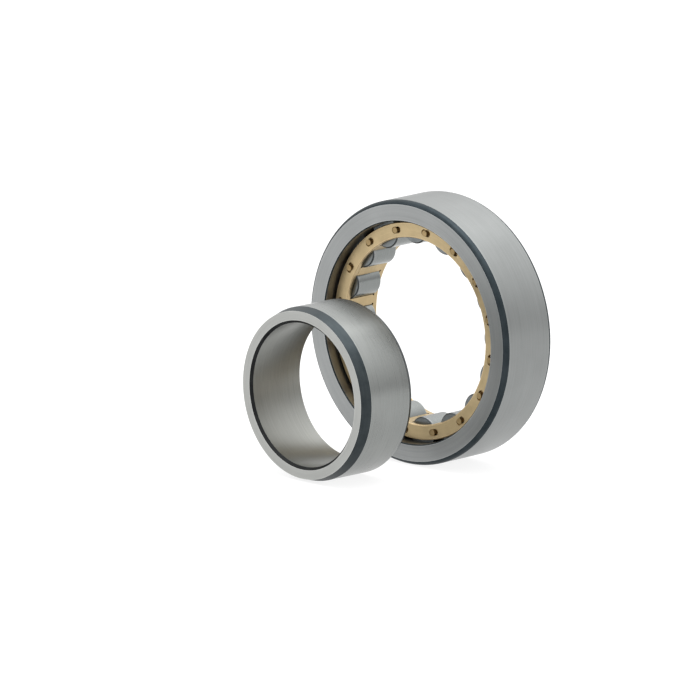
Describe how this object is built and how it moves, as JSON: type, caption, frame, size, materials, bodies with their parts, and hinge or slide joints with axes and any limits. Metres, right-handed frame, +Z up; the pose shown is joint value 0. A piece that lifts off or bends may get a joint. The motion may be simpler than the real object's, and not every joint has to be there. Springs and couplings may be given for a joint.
{
  "type": "cylindrical roller bearing",
  "caption": "Cylindrical roller bearing: a flanged outer ring with caged rollers, and its plain removable inner ring standing in front of it.",
  "frame": {"origin": "centre of the outer ring, on the bearing axis and midway between its two side faces", "axes": "+Y along the bearing axis from the front face to the back face, +Z up; it stands on its outside diameter, with the inner ring in front, towards -Y"},
  "size_m": [0.12, 0.0902, 0.12],
  "materials": {
    "ring_steel": "satin",
    "roller_steel": "polished",
    "cage_brass": "satin",
    "rivet_brass": "satin"
  },
  "bodies": {
    "outer_ring": {"outer_ring": "ring_steel"},
    "cage": {"cage_comb": "cage_brass", "cage_cover": "cage_brass", "cage_rivets": "rivet_brass"},
    "inner_ring": {"inner_ring": "ring_steel"},
    "roller_01": {"roller_01": "roller_steel"},
    "roller_02": {"roller_02": "roller_steel"},
    "roller_03": {"roller_03": "roller_steel"},
    "roller_04": {"roller_04": "roller_steel"},
    "roller_05": {"roller_05": "roller_steel"},
    "roller_06": {"roller_06": "roller_steel"},
    "roller_07": {"roller_07": "roller_steel"},
    "roller_08": {"roller_08": "roller_steel"},
    "roller_09": {"roller_09": "roller_steel"},
    "roller_10": {"roller_10": "roller_steel"},
    "roller_11": {"roller_11": "roller_steel"},
    "roller_12": {"roller_12": "roller_steel"},
    "roller_13": {"roller_13": "roller_steel"},
    "roller_14": {"roller_14": "roller_steel"},
    "roller_15": {"roller_15": "roller_steel"},
    "roller_16": {"roller_16": "roller_steel"}
  },
  "joints": [
    {"name": "cage_revolve", "type": "hinge", "parent": "outer_ring", "child": "cage", "pos_m": [0, 0, 0], "axis": [0, 1, 0], "continuous": true},
    {"name": "inner_ring_spin", "type": "hinge", "parent": "outer_ring", "child": "inner_ring", "pos_m": [-0.0095, -0.0573, -0.02075], "axis": [0.0515, 0.9987, 0], "continuous": true},
    {"name": "roller_01_spin", "type": "hinge", "parent": "cage", "child": "roller_01", "pos_m": [-0.00257, 0, 0.04668], "axis": [0, 1, 0], "continuous": true},
    {"name": "roller_02_spin", "type": "hinge", "parent": "cage", "child": "roller_02", "pos_m": [-0.02024, 0, 0.04214], "axis": [0, 1, 0], "continuous": true},
    {"name": "roller_03_spin", "type": "hinge", "parent": "cage", "child": "roller_03", "pos_m": [-0.03482, 0, 0.03119], "axis": [0, 1, 0], "continuous": true},
    {"name": "roller_04_spin", "type": "hinge", "parent": "cage", "child": "roller_04", "pos_m": [-0.04411, 0, 0.01549], "axis": [0, 1, 0], "continuous": true},
    {"name": "roller_05_spin", "type": "hinge", "parent": "cage", "child": "roller_05", "pos_m": [-0.04668, 0, -0.00257], "axis": [0, 1, 0], "continuous": true},
    {"name": "roller_06_spin", "type": "hinge", "parent": "cage", "child": "roller_06", "pos_m": [-0.04214, 0, -0.02024], "axis": [0, 1, 0], "continuous": true},
    {"name": "roller_07_spin", "type": "hinge", "parent": "cage", "child": "roller_07", "pos_m": [-0.03119, 0, -0.03482], "axis": [0, 1, 0], "continuous": true},
    {"name": "roller_08_spin", "type": "hinge", "parent": "cage", "child": "roller_08", "pos_m": [-0.01549, 0, -0.04411], "axis": [0, 1, 0], "continuous": true},
    {"name": "roller_09_spin", "type": "hinge", "parent": "cage", "child": "roller_09", "pos_m": [0.00257, 0, -0.04668], "axis": [0, 1, 0], "continuous": true},
    {"name": "roller_10_spin", "type": "hinge", "parent": "cage", "child": "roller_10", "pos_m": [0.02024, 0, -0.04214], "axis": [0, 1, 0], "continuous": true},
    {"name": "roller_11_spin", "type": "hinge", "parent": "cage", "child": "roller_11", "pos_m": [0.03482, 0, -0.03119], "axis": [0, 1, 0], "continuous": true},
    {"name": "roller_12_spin", "type": "hinge", "parent": "cage", "child": "roller_12", "pos_m": [0.04411, 0, -0.01549], "axis": [0, 1, 0], "continuous": true},
    {"name": "roller_13_spin", "type": "hinge", "parent": "cage", "child": "roller_13", "pos_m": [0.04668, 0, 0.00257], "axis": [0, 1, 0], "continuous": true},
    {"name": "roller_14_spin", "type": "hinge", "parent": "cage", "child": "roller_14", "pos_m": [0.04214, 0, 0.02024], "axis": [0, 1, 0], "continuous": true},
    {"name": "roller_15_spin", "type": "hinge", "parent": "cage", "child": "roller_15", "pos_m": [0.03119, 0, 0.03482], "axis": [0, 1, 0], "continuous": true},
    {"name": "roller_16_spin", "type": "hinge", "parent": "cage", "child": "roller_16", "pos_m": [0.01549, 0, 0.04411], "axis": [0, 1, 0], "continuous": true}
  ],
  "couplings": [
    {"joint": "roller_01_spin", "follows": "cage_revolve", "ratio": -7.2333},
    {"joint": "roller_02_spin", "follows": "cage_revolve", "ratio": -7.2333},
    {"joint": "roller_03_spin", "follows": "cage_revolve", "ratio": -7.2333},
    {"joint": "roller_04_spin", "follows": "cage_revolve", "ratio": -7.2333},
    {"joint": "roller_05_spin", "follows": "cage_revolve", "ratio": -7.2333},
    {"joint": "roller_06_spin", "follows": "cage_revolve", "ratio": -7.2333},
    {"joint": "roller_07_spin", "follows": "cage_revolve", "ratio": -7.2333},
    {"joint": "roller_08_spin", "follows": "cage_revolve", "ratio": -7.2333},
    {"joint": "roller_09_spin", "follows": "cage_revolve", "ratio": -7.2333},
    {"joint": "roller_10_spin", "follows": "cage_revolve", "ratio": -7.2333},
    {"joint": "roller_11_spin", "follows": "cage_revolve", "ratio": -7.2333},
    {"joint": "roller_12_spin", "follows": "cage_revolve", "ratio": -7.2333},
    {"joint": "roller_13_spin", "follows": "cage_revolve", "ratio": -7.2333},
    {"joint": "roller_14_spin", "follows": "cage_revolve", "ratio": -7.2333},
    {"joint": "roller_15_spin", "follows": "cage_revolve", "ratio": -7.2333},
    {"joint": "roller_16_spin", "follows": "cage_revolve", "ratio": -7.2333}
  ]
}
